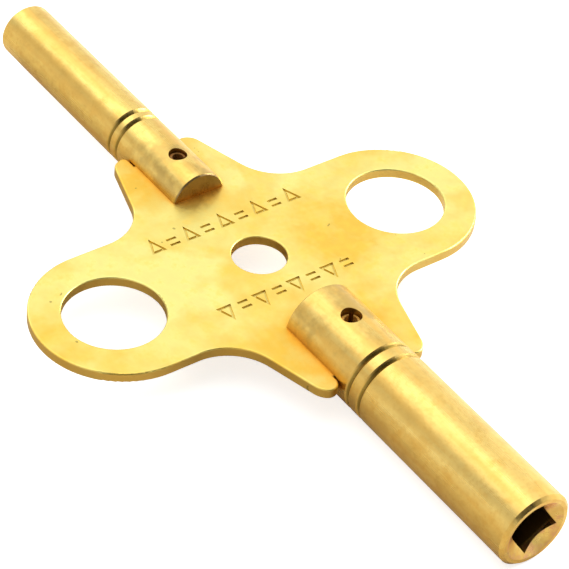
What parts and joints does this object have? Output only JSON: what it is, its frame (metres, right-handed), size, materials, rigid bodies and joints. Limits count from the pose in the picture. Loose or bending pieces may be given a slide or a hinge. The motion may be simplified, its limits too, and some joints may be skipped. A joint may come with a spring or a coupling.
{
  "type": "clock winding key",
  "caption": "Clock winding key: a flat brass handle with round finger holes and a middle hole, and pinned square-socket barrels of different sizes on opposite ends.",
  "frame": {"origin": "centre of the handle's middle hole, halfway through the plate's thickness", "axes": "+X along the barrels' common axis towards the large socket's mouth, +Y towards one finger hole, +Z out of the marked face of the plate"},
  "size_m": [0.0763, 0.0444, 0.007],
  "materials": {
    "plate_brass": "tumbled sheet brass, satin, with fine nicks and slightly rounded edges",
    "barrel_brass": "turned bar brass, satin, with fine tool lines round the barrel",
    "pin_brass": "aged, darkened, with a slit along one side"
  },
  "bodies": {
    "root": {"handle_plate": "plate_brass", "large_barrel": "barrel_brass", "small_barrel": "barrel_brass", "large_cross_pin": "pin_brass", "small_cross_pin": "pin_brass"}
  },
  "joints": []
}
